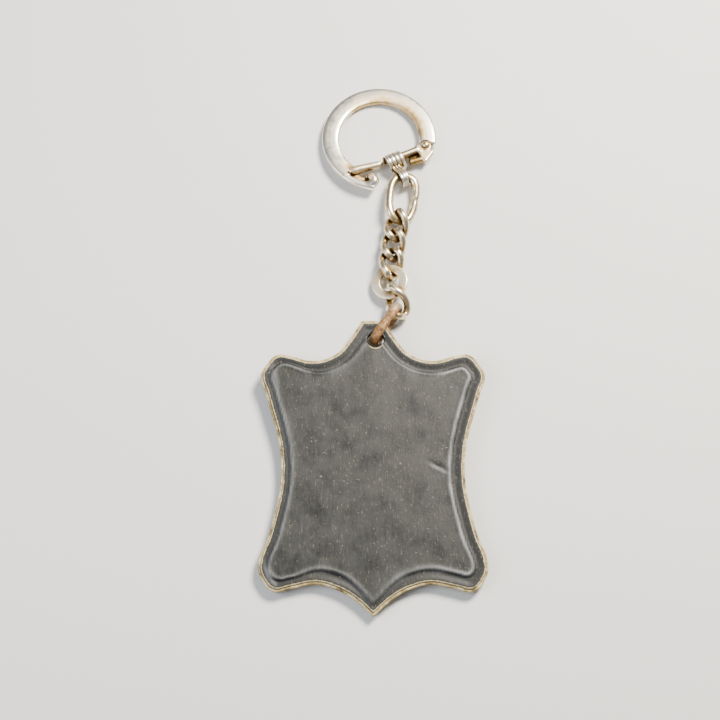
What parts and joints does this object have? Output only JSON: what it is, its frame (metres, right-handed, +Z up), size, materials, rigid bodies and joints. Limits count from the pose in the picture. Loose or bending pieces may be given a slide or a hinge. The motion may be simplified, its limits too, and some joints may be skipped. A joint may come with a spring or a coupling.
{
  "type": "keychain",
  "caption": "Hide-shaped flat fob on a short curb chain, with a flat snap key ring closed by a gate bar and a sliding ribbed sleeve.",
  "frame": {"origin": "centre of the overall outline, on the surface that the keychain lies on", "axes": "+X to the right, +Y from the fob's tail to the key ring, +Z up, off the surface"},
  "size_m": [0.052, 0.1311, 0.0067],
  "materials": {
    "nickel_plated_steel": "worn nickel plate, warm tone, soft highlights",
    "rusted_steel": "steel link with copper-brown rust",
    "black_leather": "smooth black finish with a grey sheen, fine scuffs and tan flecks",
    "raw_leather": "undyed cut edge, matt"
  },
  "bodies": {
    "fob": {"fob_front_cover": "black_leather", "fob_core": "raw_leather", "fob_back_cover": "black_leather"},
    "strap": {"strap_link": "rusted_steel"},
    "last_curb": {"curb_link_4": "nickel_plated_steel"},
    "washer": {"washer_ring": "nickel_plated_steel"},
    "third_curb": {"curb_link_3": "nickel_plated_steel"},
    "second_curb": {"curb_link_2": "nickel_plated_steel"},
    "first_curb": {"curb_link_1": "nickel_plated_steel"},
    "oval": {"oval_link": "nickel_plated_steel"},
    "sleeve": {"ribbed_sleeve": "nickel_plated_steel"},
    "gate": {"gate_bar": "nickel_plated_steel"},
    "ring": {"key_ring": "nickel_plated_steel", "gate_rivet": "nickel_plated_steel"}
  },
  "joints": [
    {"name": "strap_swivel", "type": "hinge", "parent": "fob", "child": "strap", "pos_m": [0.0006, -0.0011, 0.0034], "axis": [0, 0, 1], "range_deg": [-30, 35]},
    {"name": "last_curb_lift", "type": "hinge", "parent": "strap", "child": "last_curb", "pos_m": [0.0055, 0.006, 0.0034], "axis": [1, 0, 0], "range_deg": [-10, 20]},
    {"name": "washer_swing", "type": "hinge", "parent": "last_curb", "child": "washer", "pos_m": [0.0043, 0.0132, 0.0028], "axis": [0, 0, 1], "range_deg": [-20, 12]},
    {"name": "third_curb_lift", "type": "hinge", "parent": "washer", "child": "third_curb", "pos_m": [0.004, 0.0147, 0.0026], "axis": [1, 0, 0], "range_deg": [-5, 5]},
    {"name": "second_curb_swing", "type": "hinge", "parent": "third_curb", "child": "second_curb", "pos_m": [0.00467, 0.021, 0.0025], "axis": [0, 0, 1], "range_deg": [-20, 20]},
    {"name": "first_curb_lift", "type": "hinge", "parent": "second_curb", "child": "first_curb", "pos_m": [0.0054, 0.026, 0.0025], "axis": [1, 0, 0], "range_deg": [-10, 30]},
    {"name": "oval_swing", "type": "hinge", "parent": "first_curb", "child": "oval", "pos_m": [0.0063, 0.0309, 0.0025], "axis": [0, 0, 1], "range_deg": [-10, 25]},
    {"name": "sleeve_fold", "type": "hinge", "parent": "oval", "child": "sleeve", "pos_m": [0.00747, 0.04088, 0.00251], "axis": [0.9455, 0.3249, -0.021], "range_deg": [-30, 70]},
    {"name": "sleeve_slide", "type": "slide", "parent": "sleeve", "child": "gate", "axis": [0.9171, 0.3979, -0.0257], "range_m": [-0.0002, 0.0015]},
    {"name": "gate_hinge", "type": "hinge", "parent": "gate", "child": "ring", "pos_m": [0.01303, 0.04938, 0.00196], "axis": [0, 0.0645, 0.9979], "range_deg": [-36, 0]}
  ]
}
